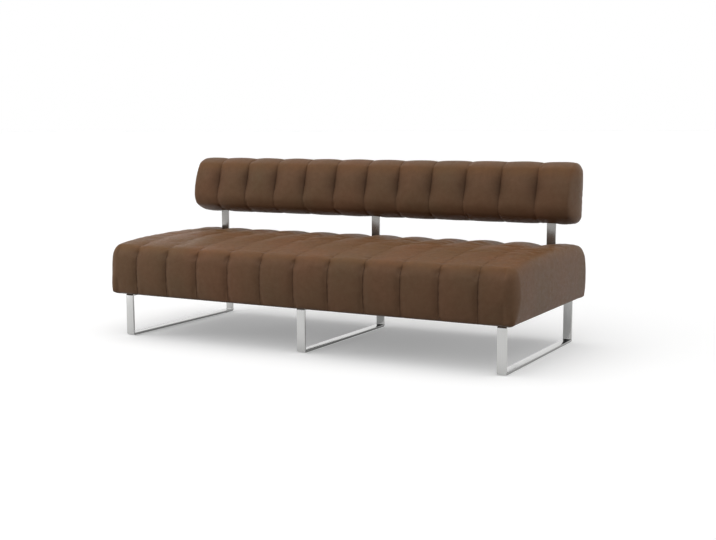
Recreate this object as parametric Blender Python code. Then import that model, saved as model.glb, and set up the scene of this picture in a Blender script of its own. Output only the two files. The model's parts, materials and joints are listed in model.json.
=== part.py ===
"""A reception bench: a channelled leather seat and back pad on flat steel bar.

Metres, Z up, +Y to the rear. The origin is on the floor, under the seat's middle.
Left and right are as seen from the front, with the left at -X.
"""

import math

import bmesh
import bpy
from mathutils import Matrix, Vector

# Seat
SEAT_LENGTH = 2.010
SEAT_DEPTH = 0.902
SEAT_HEIGHT = 0.469  # floor to the top of the crown
SEAT_UNDERSIDE = 0.199  # floor to the seat's lower face
SEAT_CROWN = 0.0455  # rise from the front and rear edges to the middle
CROWN_POWER = 3  # how flat the crown's middle is
CROWN_LOSS = 0.30  # share of the crown that is lost at the seat's ends
CROWN_END_POWER = 6  # how late along the seat that loss sets in
SEAT_FULLEST = 0.310  # height at which the sides stand out furthest
SEAT_EDGE_RADIUS = 0.048
SEAT_LOWER_RADIUS = 0.025
SEAT_FOAM_RADIUS = 0.019
SEAT_QUILT = 0.046  # leather and its wadding, outside the foam
SEAT_SEAM_DEPTH = 0.016
DRAW_IN_FRONT = 0.004  # how far the lower edge stands in from the fullest part
DRAW_IN_END = 0.016

# Back pad
BACK_HEIGHT = 0.268
BACK_THICKNESS = 0.160
BACK_LEAN = math.radians(5.0)
BACK_FORWARD = 0.027  # how far the pad's middle stands in front of the uprights
BACK_EDGE_RADIUS = 0.045
BACK_FOAM_RADIUS = 0.014
BACK_QUILT = 0.026
BACK_SEAM_DEPTH = 0.009
BACK_SWELL = 0.006  # how far the pad's front swells at mid-height
BOARD_THICKNESS = 0.018
PANEL_THICKNESS = 0.013
PANEL_EDGE_RADIUS = 0.004

# Stitched channels, the same on the seat and the back
CHANNEL_PITCH = 0.1685
GROOVE_SHARPNESS = 2.0

# Flat bar
BAR_WIDTH = 0.040
BAR_THICKNESS = 0.010
BEND_RADIUS = 0.008  # inside radius

# Legs
LEG_INSET = 0.079  # seat end to leg centre
LEG_SHIFT = 0.009  # how far the legs stand behind the seat's middle
OUTER_LEG_DEPTH = 0.808
MIDDLE_LEG_FRONT_INSET = 0.016  # how far the middle leg stands in from the outer ones
MIDDLE_LEG_REAR_INSET = 0.049
GLIDE_DIAMETER = 0.026
GLIDE_HEIGHT = 0.0025
GLIDE_STEM_DIAMETER = 0.008
GLIDE_STEM_LENGTH = 0.007
GLIDE_SETBACK = 0.050  # leg face to glide centre

# Uprights
UPRIGHT_INSET = 0.130  # seat end to upright centre
UPRIGHT_SETBACK = 0.141  # seat rear to upright centre
UPRIGHT_BEND_HEIGHT = 0.534
UPRIGHT_REACH = 0.190  # length of the leaning part
PAD_ABOVE_BEND = 0.005

# Wooden frame
RAIL_THICKNESS = 0.025
RAIL_HEIGHT = 0.095
PLANK_WIDTH = 0.034
PLANK_HEIGHT = 0.040
DECK_THICKNESS = 0.012
RETURN_WIDTH = 0.012  # leather turned in under the frame
RETURN_THICKNESS = 0.0015
DUST_COVER_THICKNESS = 0.0015

# Fasteners
BOLT_DIAMETER = 0.008
BOLT_HEAD_DIAMETER = 0.014
BOLT_HEAD_HEIGHT = 0.0045
BOLT_HEAD_FLAT = 0.0085  # diameter of the flat on the head
BOLT_SETBACK = 0.110  # leg face to bolt centre
TNUT_FLANGE_DIAMETER = 0.020
TNUT_FLANGE_HEIGHT = 0.0015
TNUT_BARREL_DIAMETER = 0.0105
TNUT_BARREL_LENGTH = 0.011
SCREW_HOLD = 0.012  # length of screw in the wood
SEAT_SCREW_LOW = 0.013  # post rail's lower face to the lower screw
SEAT_SCREW_SPACING = 0.024
BACK_SCREW_LOW = 0.085  # bend to the lower screw
BACK_SCREW_SPACING = 0.070

# Clearances
FIT = 0.0004  # between faces that rest on each other
HOLE_PLAY = 0.0012  # on the diameter of a hole
SLOT_PLAY = 0.0006  # on each side of an upright in its slot

ROUND_STEPS = 12
BEND_STEPS = 4
CORNER_STEPS = 2
SIDES = (("left", -1), ("middle", 0), ("right", 1))

# Sizes and places that follow from those above
BACK_LENGTH = SEAT_LENGTH
CHANNELS = round(SEAT_LENGTH / CHANNEL_PITCH)
SEAT_CORE_X = SEAT_LENGTH / 2 - SEAT_QUILT
SEAT_CORE_Y = SEAT_DEPTH / 2 - SEAT_QUILT
SEAT_CORE_TOP = SEAT_HEIGHT - SEAT_CROWN - SEAT_QUILT
FRAME_X = SEAT_CORE_X - FIT
FRAME_Y = SEAT_CORE_Y - FIT
RETURN_TOP = SEAT_UNDERSIDE + RETURN_THICKNESS
FRAME_BOTTOM = RETURN_TOP + FIT
FRAME_TOP = FRAME_BOTTOM + RAIL_HEIGHT
PLANK_TOP = FRAME_BOTTOM + PLANK_HEIGHT
DECK_BOTTOM = FRAME_TOP + FIT
DECK_TOP = DECK_BOTTOM + DECK_THICKNESS
POST_RAIL_BOTTOM = PLANK_TOP + FIT
LEG_X = SEAT_LENGTH / 2 - LEG_INSET
END_RAIL_INSIDE = LEG_X + PLANK_WIDTH / 2 + FIT
RETURN_X = FRAME_X - RETURN_WIDTH
RETURN_Y = FRAME_Y - RETURN_WIDTH
LEG_TOP = SEAT_UNDERSIDE - FIT
LEG_BOTTOM = GLIDE_HEIGHT + FIT
UPRIGHT_X = SEAT_LENGTH / 2 - UPRIGHT_INSET
UPRIGHT_Y = SEAT_DEPTH / 2 - UPRIGHT_SETBACK
PAD_LOW = PAD_ABOVE_BEND
PAD_HIGH = PAD_LOW + BACK_HEIGHT
PAD_FRONT = -BACK_FORWARD - BACK_THICKNESS / 2
PAD_REAR = -BACK_FORWARD + BACK_THICKNESS / 2
PAD_CORE_X = BACK_LENGTH / 2 - BACK_QUILT
PAD_CORE_LOW = PAD_LOW + BACK_QUILT
PAD_CORE_HIGH = PAD_HIGH - BACK_QUILT
PAD_CORE_FRONT = PAD_FRONT + BACK_QUILT
BOARD_REAR = -BAR_THICKNESS / 2 - FIT
BOARD_FRONT = BOARD_REAR - BOARD_THICKNESS
PANEL_FRONT = PAD_REAR - PANEL_THICKNESS
SEAT_SCREW_Z = POST_RAIL_BOTTOM + SEAT_SCREW_LOW
SEAT_SCREWS = (("low", SEAT_SCREW_Z), ("high", SEAT_SCREW_Z + SEAT_SCREW_SPACING))
BACK_SCREWS = (("low", BACK_SCREW_LOW), ("high", BACK_SCREW_LOW + BACK_SCREW_SPACING))
POINTING_FORWARD = math.pi / 2
SEAMS = [CHANNEL_PITCH * (i - CHANNELS / 2) for i in range(1, CHANNELS)]


def clear_scene():
    for obj in list(bpy.data.objects):
        bpy.data.objects.remove(obj, do_unlink=True)


def new_collection(name):
    collection = bpy.data.collections.new(name)
    bpy.context.scene.collection.children.link(collection)
    return collection


def new_material(name, colour, roughness, metallic=0.0):
    material = bpy.data.materials.new(name)
    material.use_nodes = True
    shader = material.node_tree.nodes["Principled BSDF"]
    shader.inputs["Base Color"].default_value = (*colour, 1.0)
    shader.inputs["Roughness"].default_value = roughness
    shader.inputs["Metallic"].default_value = metallic
    material.diffuse_color = (*colour, 1.0)
    return material


class Workshop:
    """Holds the collections and materials, and turns meshes into named parts."""

    def __init__(self):
        self.parts = new_collection("reception_bench")
        self.cutters = new_collection("cutters")
        self.cutters.hide_render = True
        self.materials = {
            "leather": new_material("brown_leather", (0.120, 0.072, 0.044), 0.5),
            "foam": new_material("foam", (0.75, 0.68, 0.45), 0.9),
            "wood": new_material("beech", (0.48, 0.31, 0.17), 0.6),
            "plywood": new_material("plywood", (0.55, 0.40, 0.24), 0.6),
            "cloth": new_material("black_cloth", (0.02, 0.02, 0.02), 0.95),
            "steel": new_material("brushed_steel", (0.58, 0.58, 0.57), 0.3, 1.0),
            "zinc": new_material("zinc_plate", (0.62, 0.63, 0.64), 0.35, 1.0),
            "nylon": new_material("nylon", (0.03, 0.03, 0.03), 0.6),
        }
        self.lean = bpy.data.objects.new("back_lean", None)
        self.lean.location = (0, UPRIGHT_Y, UPRIGHT_BEND_HEIGHT)
        self.lean.rotation_euler.x = -BACK_LEAN
        self.parts.objects.link(self.lean)

    def part(self, name, bm, material, location=(0, 0, 0), tilt=0.0, leaning=False):
        """Makes a part and places it, tilted about X. A leaning part lies in the back pad's frame."""
        obj = bpy.data.objects.new(name, to_mesh(name, bm))
        obj.data.materials.append(self.materials[material])
        obj.location = location
        obj.rotation_euler.x = tilt
        self.parts.objects.link(obj)
        if leaning:
            obj.parent = self.lean
        return obj

    def cut(self, target, label, bm):
        """Cuts the closed bodies of bm from a part. They share the part's frame."""
        cutter = bpy.data.objects.new(f"{target.name}_{label}", to_mesh(label, bm))
        cutter.hide_render = True
        cutter.display_type = "WIRE"
        self.cutters.objects.link(cutter)
        cutter.parent = target.parent
        cutter.location = target.location
        boolean = target.modifiers.new(label, "BOOLEAN")
        boolean.operation = "DIFFERENCE"
        boolean.solver = "EXACT"
        boolean.object = cutter


def to_mesh(name, bm):
    bmesh.ops.recalc_face_normals(bm, faces=bm.faces)
    mesh = bpy.data.meshes.new(name)
    bm.to_mesh(mesh)
    bm.free()
    return mesh


def add_box(bm, low, high):
    low = Vector(low)
    high = Vector(high)
    size = high - low
    matrix = Matrix.Translation((low + high) / 2) @ Matrix.Diagonal((*size, 1.0))
    return bmesh.ops.create_cube(bm, size=1.0, matrix=matrix)["verts"]


def box(low, high):
    bm = bmesh.new()
    add_box(bm, low, high)
    return bm


def round_edges(bm, radius, steps, wanted):
    """Rounds the edges for which wanted(direction, middle) is true."""
    edges = []
    for edge in bm.edges:
        first, second = (vert.co for vert in edge.verts)
        if wanted((second - first).normalized(), (first + second) / 2):
            edges.append(edge)
    bmesh.ops.bevel(bm, geom=edges, offset=radius, segments=steps, profile=0.5, affect="EDGES")
    return bm


def along_x(direction, middle):
    return abs(direction.x) > 0.99


def along_z(direction, middle):
    return abs(direction.z) > 0.99


def frame_corner(direction, middle):
    """An upright edge at an outer corner of the seat's frame."""
    return along_z(direction, middle) and abs(middle.y) > FRAME_Y - FIT


def add_rod(bm, centre, diameter, length, along):
    """Adds a round bar whose middle is at centre, along Y or Z, and returns its points."""
    turn = Matrix.Rotation(math.pi / 2, 4, "X") if along == "Y" else Matrix.Identity(4)
    made = bmesh.ops.create_cone(
        bm,
        cap_ends=True,
        segments=ROUND_STEPS,
        radius1=diameter / 2,
        radius2=diameter / 2,
        depth=length,
        matrix=Matrix.Translation(centre) @ turn,
    )
    return made["verts"]


def turned(profile, closed=False):
    """Turns a profile of (radius, height) points round Z. A closed profile leaves a bore."""
    bm = bmesh.new()
    points = [bm.verts.new((radius, 0, height)) for radius, height in profile]
    edges = [bm.edges.new(pair) for pair in zip(points, points[1:])]
    if closed:
        edges.append(bm.edges.new((points[-1], points[0])))
    bmesh.ops.spin(
        bm,
        geom=points + edges,
        cent=(0, 0, 0),
        axis=(0, 0, 1),
        angle=math.tau,
        steps=ROUND_STEPS,
        use_merge=True,
    )
    bmesh.ops.remove_doubles(bm, verts=bm.verts, dist=1e-6)
    return bm


def bolt(hold):
    """A button-head bolt pointing up, with its seat at the origin."""
    head = BOLT_HEAD_DIAMETER / 2
    shank = BOLT_DIAMETER / 2
    return turned(
        [
            (0, hold),
            (shank, hold),
            (shank, 0),
            (head, 0),
            (BOLT_HEAD_FLAT / 2, -BOLT_HEAD_HEIGHT),
            (0, -BOLT_HEAD_HEIGHT),
        ]
    )


def edge_stations(low, high, radius, fine=True):
    """Cut positions that give each rounded edge two even steps, or four if fine."""
    found = [low + radius, high - radius]
    if fine:
        half_step = radius * math.tan(math.pi / 8)
        found += [low + radius - half_step, high - radius + half_step]
    return found


def top_edge_stations(high, radius, fine=True):
    """The same for a box whose lower edges stay sharp."""
    both = edge_stations(high - 4 * radius, high, radius, fine)
    return [height for height in both if height > high - 2 * radius]


def channel_stations(half, radius):
    """Cut positions along the length: each seam, and the quarters of each channel."""
    found = [SEAMS[0] + CHANNEL_PITCH * i / 4 for i in range(4 * (len(SEAMS) - 1) + 1)]
    middle_of_end = (SEAMS[-1] + half - radius) / 2
    return found + [-middle_of_end, middle_of_end] + edge_stations(-half, half, radius)


def groove(x, depth):
    """How far the surface is drawn in at x by the nearest seam."""
    away = min(abs(x - seam) for seam in SEAMS)
    return depth * max(0.0, 1 - away / (CHANNEL_PITCH / 2)) ** GROOVE_SHARPNESS


def soft_box(low, high, radius, cuts, shape, round_low=True):
    """A box with loop cuts and rounded edges, whose points shape(point, outward) then moves.

    With round_low off, the edges of the lower face stay sharp.
    """
    low = Vector(low)
    high = Vector(high)
    bm = box(low, high)
    for axis in range(3):
        normal = Vector((axis == 0, axis == 1, axis == 2))
        for position in cuts[axis]:
            geom = bm.verts[:] + bm.edges[:] + bm.faces[:]
            bmesh.ops.bisect_plane(bm, geom=geom, plane_co=normal * position, plane_no=normal)
    inset = Vector((radius, radius, radius))
    core_low = low + inset
    core_high = high - inset
    if not round_low:
        core_low.z = low.z
        flat = [f for f in bm.faces if f.calc_center_median().z < low.z + 1e-6]
        bmesh.ops.dissolve_faces(bm, faces=flat)
    for vert in bm.verts:
        core = Vector(min(max(vert.co[i], core_low[i]), core_high[i]) for i in range(3))
        outward = (vert.co - core).normalized()
        vert.co = shape(core + radius * outward, outward)
    return bm


def seat_shape(point, outward):
    """The seat's crown, bulging sides, rounded lower edge and stitched grooves."""
    across = 1 - min(1.0, abs(point.y) / (SEAT_DEPTH / 2)) ** CROWN_POWER
    along = 1 - CROWN_LOSS * (abs(point.x) / (SEAT_LENGTH / 2)) ** CROWN_END_POWER
    rise = (point.z - SEAT_UNDERSIDE) / (SEAT_HEIGHT - SEAT_CROWN - SEAT_UNDERSIDE)
    drawn = ((SEAT_FULLEST - point.z) / (SEAT_FULLEST - SEAT_UNDERSIDE)) ** 2
    turned_in = max(0.0, SEAT_UNDERSIDE + SEAT_LOWER_RADIUS - point.z)
    depth = groove(point.x, SEAT_SEAM_DEPTH) * (1 - turned_in / SEAT_LOWER_RADIUS / 2)
    moved = point - depth * outward * (1 - abs(outward.x))
    moved.x -= (DRAW_IN_END * drawn + turned_in) * outward.x
    moved.y -= (DRAW_IN_FRONT * drawn + turned_in) * outward.y
    moved.z += SEAT_CROWN * across * along * rise ** 2
    return moved


def seat_core_shape(point, outward):
    """The crown of the foam under the cover."""
    across = 1 - min(1.0, abs(point.y) / SEAT_CORE_Y) ** CROWN_POWER
    point.z += SEAT_CROWN * across * (1 - CROWN_LOSS) * max(0.0, outward.z)
    return point


def seat_core(bottom, grow):
    """The seat's inside, from a height up to its crown, grown by a clearance."""
    radius = SEAT_FOAM_RADIUS + grow
    half_x = FRAME_X + grow
    half_y = FRAME_Y + grow
    low = (-half_x, -half_y, bottom)
    high = (half_x, half_y, SEAT_CORE_TOP - FIT + grow)
    cuts = [
        edge_stations(-half_x, half_x, radius, fine=False),
        edge_stations(-half_y, half_y, radius, fine=False) + [-half_y / 2, 0, half_y / 2],
        top_edge_stations(high[2], radius, fine=False),
    ]
    return soft_box(low, high, radius, cuts, seat_core_shape, round_low=False)


def upright_slots(low, high):
    """Bodies that clear the uprights between two heights."""
    bm = bmesh.new()
    half_x = BAR_WIDTH / 2 + SLOT_PLAY
    half_y = BAR_THICKNESS / 2 + SLOT_PLAY
    for _, side in SIDES:
        x = side * UPRIGHT_X
        add_box(bm, (x - half_x, UPRIGHT_Y - half_y, low), (x + half_x, UPRIGHT_Y + half_y, high))
    return bm


def leg_span(side):
    """Front and rear faces of a leg."""
    front = LEG_SHIFT - OUTER_LEG_DEPTH / 2
    rear = LEG_SHIFT + OUTER_LEG_DEPTH / 2
    if side:
        return front, rear
    return front + MIDDLE_LEG_FRONT_INSET, rear - MIDDLE_LEG_REAR_INSET


def along_leg(side, setback):
    """Where the two pieces that stand in from a leg's faces lie along Y."""
    front, rear = leg_span(side)
    return (("front", front + setback), ("rear", rear - setback))


def build_seat_cover(shop):
    half_x = SEAT_LENGTH / 2
    half_y = SEAT_DEPTH / 2
    top = SEAT_HEIGHT - SEAT_CROWN
    sides = [SEAT_FULLEST, SEAT_UNDERSIDE + SEAT_LOWER_RADIUS]
    cuts = [
        channel_stations(half_x, SEAT_EDGE_RADIUS),
        edge_stations(-half_y, half_y, SEAT_EDGE_RADIUS) + [-half_y / 2, 0, half_y / 2],
        top_edge_stations(top, SEAT_EDGE_RADIUS) + sides,
    ]
    low = (-half_x, -half_y, SEAT_UNDERSIDE)
    high = (half_x, half_y, top)
    bm = soft_box(low, high, SEAT_EDGE_RADIUS, cuts, seat_shape, round_low=False)
    cover = shop.part("seat_cover", bm, "leather")
    shop.cut(cover, "hollow", seat_core(RETURN_TOP, FIT))
    low = (-RETURN_X, -RETURN_Y, SEAT_UNDERSIDE - RETURN_THICKNESS)
    shop.cut(cover, "underside", box(low, (RETURN_X, RETURN_Y, FRAME_TOP)))
    shop.cut(cover, "slots", upright_slots(DECK_TOP, SEAT_HEIGHT + SEAT_QUILT))


def build_seat_frame(shop):
    inner_y = FRAME_Y - RAIL_THICKNESS
    for name, side in (("front_rail", -1), ("rear_rail", 1)):
        near, far = sorted((side * inner_y, side * FRAME_Y))
        low = (-FRAME_X, near, FRAME_BOTTOM)
        high = (FRAME_X, far, FRAME_TOP)
        rail = round_edges(box(low, high), SEAT_FOAM_RADIUS, CORNER_STEPS, frame_corner)
        shop.part(name, rail, "wood")
    end_y = inner_y - FIT
    for name, side in (("left_rail", -1), ("right_rail", 1)):
        near, far = sorted((side * END_RAIL_INSIDE, side * FRAME_X))
        shop.part(name, box((near, -end_y, FRAME_BOTTOM), (far, end_y, FRAME_TOP)), "wood")
    for name, side in SIDES:
        low = (-PLANK_WIDTH / 2, -end_y, FRAME_BOTTOM)
        high = (PLANK_WIDTH / 2, end_y, PLANK_TOP)
        plank = shop.part(f"{name}_plank", box(low, high), "wood", (side * LEG_X, 0, 0))
        shop.cut(plank, "bolt_holes", plank_holes(side))

    post_rear = UPRIGHT_Y - BAR_THICKNESS / 2 - FIT
    end_x = END_RAIL_INSIDE - FIT
    low = (-end_x, post_rear - RAIL_THICKNESS, POST_RAIL_BOTTOM)
    post_rail = shop.part("post_rail", box(low, (end_x, post_rear, FRAME_TOP)), "wood")
    shop.cut(post_rail, "screw_holes", screw_holes(post_rear, SEAT_SCREWS))

    board = box((-FRAME_X, -FRAME_Y, DECK_BOTTOM), (FRAME_X, FRAME_Y, DECK_TOP))
    round_edges(board, SEAT_FOAM_RADIUS, CORNER_STEPS, along_z)
    deck = shop.part("seat_deck", board, "plywood")
    shop.cut(deck, "slots", upright_slots(FRAME_TOP - DECK_THICKNESS, DECK_TOP + DECK_THICKNESS))

    dust_x = RETURN_X - FIT
    dust_y = RETURN_Y - FIT
    dust_top = FRAME_BOTTOM - FIT
    dust_low = (-dust_x, -dust_y, dust_top - DUST_COVER_THICKNESS)
    dust = shop.part("dust_cover", box(dust_low, (dust_x, dust_y, dust_top)), "cloth")
    holes = bmesh.new()
    for _, side in SIDES:
        for _, y in along_leg(side, BOLT_SETBACK):
            centre = (side * LEG_X, y, dust_top)
            add_rod(holes, centre, BOLT_DIAMETER + HOLE_PLAY, 4 * DUST_COVER_THICKNESS, "Z")
    shop.cut(dust, "bolt_holes", holes)


def screw_holes(face, heights):
    """Blind holes for the uprights' screws, from a rear face forwards."""
    bm = bmesh.new()
    depth = SCREW_HOLD + HOLE_PLAY
    for _, side in SIDES:
        for _, height in heights:
            centre = (side * UPRIGHT_X, face, height)
            add_rod(bm, centre, BOLT_DIAMETER + HOLE_PLAY, 2 * depth, "Y")
    return bm


def plank_holes(side):
    """Bolt holes of one plank, each with the room for its T-nut."""
    top = PLANK_TOP + HOLE_PLAY
    flange = TNUT_FLANGE_HEIGHT + FIT + HOLE_PLAY
    barrel = flange + TNUT_BARREL_LENGTH
    steps = (
        (TNUT_FLANGE_DIAMETER, flange),
        (TNUT_BARREL_DIAMETER, barrel),
        (BOLT_DIAMETER, PLANK_HEIGHT + 4 * HOLE_PLAY),
    )
    profile = [(0, top)]
    for diameter, depth in steps:
        radius = (diameter + HOLE_PLAY) / 2
        profile.append((radius, profile[-1][1]))
        profile.append((radius, top - depth))
    profile.append((0, profile[-1][1]))
    mesh = to_mesh("hole", turned(profile))
    bm = bmesh.new()
    for _, y in along_leg(side, BOLT_SETBACK):
        before = len(bm.verts)
        bm.from_mesh(mesh)
        bmesh.ops.translate(bm, verts=bm.verts[before:], vec=(0, y, 0))
    bpy.data.meshes.remove(mesh)
    return bm


def build_seat_foam(shop):
    foam = shop.part("seat_foam", seat_core(DECK_TOP + FIT, 0), "foam")
    shop.cut(foam, "slots", upright_slots(DECK_BOTTOM, SEAT_HEIGHT))


def build_legs(shop):
    half = BAR_WIDTH / 2
    stem_room = GLIDE_STEM_LENGTH + FIT
    for name, side in SIDES:
        x = side * LEG_X
        front, rear = leg_span(side)
        outer = box((-half, front, LEG_BOTTOM), (half, rear, LEG_TOP))
        round_edges(outer, BEND_RADIUS + BAR_THICKNESS, BEND_STEPS, along_x)
        leg = shop.part(f"leg_frame_{name}", outer, "steel", (x, 0, 0))
        low = (-BAR_WIDTH, front + BAR_THICKNESS, LEG_BOTTOM + BAR_THICKNESS)
        high = (BAR_WIDTH, rear - BAR_THICKNESS, LEG_TOP - BAR_THICKNESS)
        inner = box(low, high)
        round_edges(inner, BEND_RADIUS, BEND_STEPS, along_x)
        shop.cut(leg, "inside", inner)
        holes = bmesh.new()
        for _, y in along_leg(side, BOLT_SETBACK):
            centre = (0, y, LEG_TOP - BAR_THICKNESS / 2)
            add_rod(holes, centre, BOLT_DIAMETER + HOLE_PLAY, 2 * BAR_THICKNESS, "Z")
        for end, y in along_leg(side, GLIDE_SETBACK):
            centre = (0, y, LEG_BOTTOM)
            add_rod(holes, centre, GLIDE_STEM_DIAMETER + HOLE_PLAY, 2 * stem_room, "Z")
            shop.part(f"glide_{name}_{end}", glide(), "nylon", (x, y, 0))
        shop.cut(leg, "holes", holes)


def glide():
    """A glide whose underside is at the origin."""
    disc = GLIDE_DIAMETER / 2
    stem = GLIDE_STEM_DIAMETER / 2
    top = LEG_BOTTOM + GLIDE_STEM_LENGTH - FIT
    return turned([(0, top), (stem, top), (stem, GLIDE_HEIGHT), (disc, GLIDE_HEIGHT), (disc, 0), (0, 0)])


def build_leg_fasteners(shop):
    seat = LEG_TOP - BAR_THICKNESS - FIT
    hold = PLANK_TOP - TNUT_FLANGE_HEIGHT - seat
    for name, side in SIDES:
        x = side * LEG_X
        for end, y in along_leg(side, BOLT_SETBACK):
            shop.part(f"leg_bolt_{name}_{end}", bolt(hold), "zinc", (x, y, seat))
            shop.part(f"leg_tnut_{name}_{end}", tnut(), "zinc", (x, y, PLANK_TOP))


def tnut():
    """A T-nut whose flange top is at the origin."""
    bore = (BOLT_DIAMETER + HOLE_PLAY) / 2
    barrel = TNUT_BARREL_DIAMETER / 2
    flange = TNUT_FLANGE_DIAMETER / 2
    low = -TNUT_FLANGE_HEIGHT - TNUT_BARREL_LENGTH
    profile = [
        (bore, 0),
        (flange, 0),
        (flange, -TNUT_FLANGE_HEIGHT),
        (barrel, -TNUT_FLANGE_HEIGHT),
        (barrel, low),
        (bore, low),
    ]
    return turned(profile, closed=True)


def build_uprights(shop):
    """Each upright is drawn about its bend, where it begins to lean."""
    lean = Matrix.Rotation(-BACK_LEAN, 4, "X")
    half_x = BAR_WIDTH / 2
    half_y = BAR_THICKNESS / 2
    foot = POST_RAIL_BOTTOM - UPRIGHT_BEND_HEIGHT
    hole = BOLT_DIAMETER + HOLE_PLAY
    hold = BAR_THICKNESS + FIT + SCREW_HOLD
    rear = half_y + FIT
    for name, side in SIDES:
        x = side * UPRIGHT_X
        bm = box((-half_x, -half_y, foot), (half_x, half_y, UPRIGHT_REACH))
        geom = bm.verts[:] + bm.edges[:] + bm.faces[:]
        bmesh.ops.bisect_plane(bm, geom=geom, plane_co=(0, 0, 0), plane_no=(0, 0, 1))
        upper = [vert for vert in bm.verts if vert.co.z > FIT]
        bmesh.ops.transform(bm, matrix=lean, verts=upper)
        upright = shop.part(f"upright_{name}", bm, "steel", (x, UPRIGHT_Y, UPRIGHT_BEND_HEIGHT))
        holes = bmesh.new()
        for level, z in SEAT_SCREWS:
            add_rod(holes, (0, 0, z - UPRIGHT_BEND_HEIGHT), hole, 2 * BAR_THICKNESS, "Y")
            screw = (x, UPRIGHT_Y + rear, z)
            shop.part(f"seat_screw_{name}_{level}", bolt(hold), "zinc", screw, POINTING_FORWARD)
        for level, h in BACK_SCREWS:
            points = add_rod(holes, (0, 0, h), hole, 2 * BAR_THICKNESS, "Y")
            bmesh.ops.transform(holes, matrix=lean, verts=points)
            screw = (x, rear, h)
            screw_name = f"back_screw_{name}_{level}"
            shop.part(screw_name, bolt(hold), "zinc", screw, POINTING_FORWARD, leaning=True)
        shop.cut(upright, "holes", holes)


def back_shape(point, outward):
    """The pad's swelling front and stitched grooves, in the pad's frame."""
    middle = (PAD_LOW + PAD_HIGH) / 2
    swell = 1 - min(1.0, abs(point.z - middle) / (BACK_HEIGHT / 2)) ** 2
    moved = point - groove(point.x, BACK_SEAM_DEPTH) * outward * (1 - abs(outward.x))
    if outward.y < 0:
        moved.y += BACK_SWELL * swell * outward.y
    return moved


def pad_core(rear, grow):
    """The pad's inside, from its front to a rear face, grown by a clearance."""
    half_x = PAD_CORE_X - FIT + grow
    low = Vector((-half_x, PAD_CORE_FRONT + FIT - grow, PAD_CORE_LOW + FIT - grow))
    high = Vector((half_x, rear, PAD_CORE_HIGH - FIT + grow))
    radius = BACK_FOAM_RADIUS + grow
    return round_edges(box(low, high), radius, CORNER_STEPS, lambda _, middle: middle.y < low.y + FIT)


def build_back_pad(shop):
    half_x = BACK_LENGTH / 2
    cuts = [
        channel_stations(half_x, BACK_EDGE_RADIUS),
        edge_stations(PAD_FRONT, PAD_REAR, BACK_EDGE_RADIUS),
        edge_stations(PAD_LOW, PAD_HIGH, BACK_EDGE_RADIUS) + [(PAD_LOW + PAD_HIGH) / 2],
    ]
    low = (-half_x, PAD_FRONT, PAD_LOW)
    high = (half_x, PAD_REAR, PAD_HIGH)
    bm = soft_box(low, high, BACK_EDGE_RADIUS, cuts, back_shape)
    cover = shop.part("back_cover", bm, "leather", leaning=True)
    shop.cut(cover, "hollow", pad_core(PAD_REAR + BACK_QUILT, FIT))
    slots = bmesh.new()
    slot_x = BAR_WIDTH / 2 + SLOT_PLAY
    slot_y = BAR_THICKNESS / 2 + SLOT_PLAY
    for _, side in SIDES:
        x = side * UPRIGHT_X
        slot_low = (x - slot_x, -slot_y, PAD_LOW - BACK_QUILT)
        add_box(slots, slot_low, (x + slot_x, slot_y, PAD_CORE_LOW + BACK_QUILT))
    shop.cut(cover, "slots", slots)

    inner_x = PAD_CORE_X - FIT
    inner_low = PAD_CORE_LOW + FIT
    inner_high = PAD_CORE_HIGH - FIT
    shop.part("back_foam_front", pad_core(BOARD_FRONT - FIT, 0), "foam", leaning=True)
    board_low = (-inner_x, BOARD_FRONT, inner_low)
    board_high = (inner_x, BOARD_REAR, inner_high)
    board = shop.part("back_board", box(board_low, board_high), "plywood", leaning=True)
    shop.cut(board, "screw_holes", screw_holes(BOARD_REAR, BACK_SCREWS))
    foam_low = (-inner_x, BOARD_REAR + FIT, inner_low)
    foam_high = (inner_x, PANEL_FRONT - FIT, inner_high)
    foam = shop.part("back_foam_rear", box(foam_low, foam_high), "foam", leaning=True)
    room = bmesh.new()
    for _, side in SIDES:
        x = side * UPRIGHT_X
        room_low = (x - slot_x, BOARD_FRONT, PAD_LOW)
        add_box(room, room_low, (x + slot_x, PAD_REAR, UPRIGHT_REACH + SLOT_PLAY))
    shop.cut(foam, "upright_room", room)
    panel_low = (-inner_x, PANEL_FRONT, inner_low)
    panel = box(panel_low, (inner_x, PAD_REAR, inner_high))
    round_edges(panel, PANEL_EDGE_RADIUS, CORNER_STEPS, lambda _, middle: middle.y > PAD_REAR - FIT)
    shop.part("back_panel", panel, "leather", leaning=True)


def main():
    clear_scene()
    shop = Workshop()
    bpy.context.view_layer.update()
    build_seat_cover(shop)
    build_seat_frame(shop)
    build_seat_foam(shop)
    build_legs(shop)
    build_leg_fasteners(shop)
    build_uprights(shop)
    build_back_pad(shop)


main()
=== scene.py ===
"""Looks of a reception bench, built around its solids: quilted leather and satin steel in studio light.

Metres, Z up, +Y to the rear. The origin is on the floor, under the seat's middle.
"""

import json
import math

import bmesh
import bpy
import numpy as np
from mathutils import Matrix, Vector, noise

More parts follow.
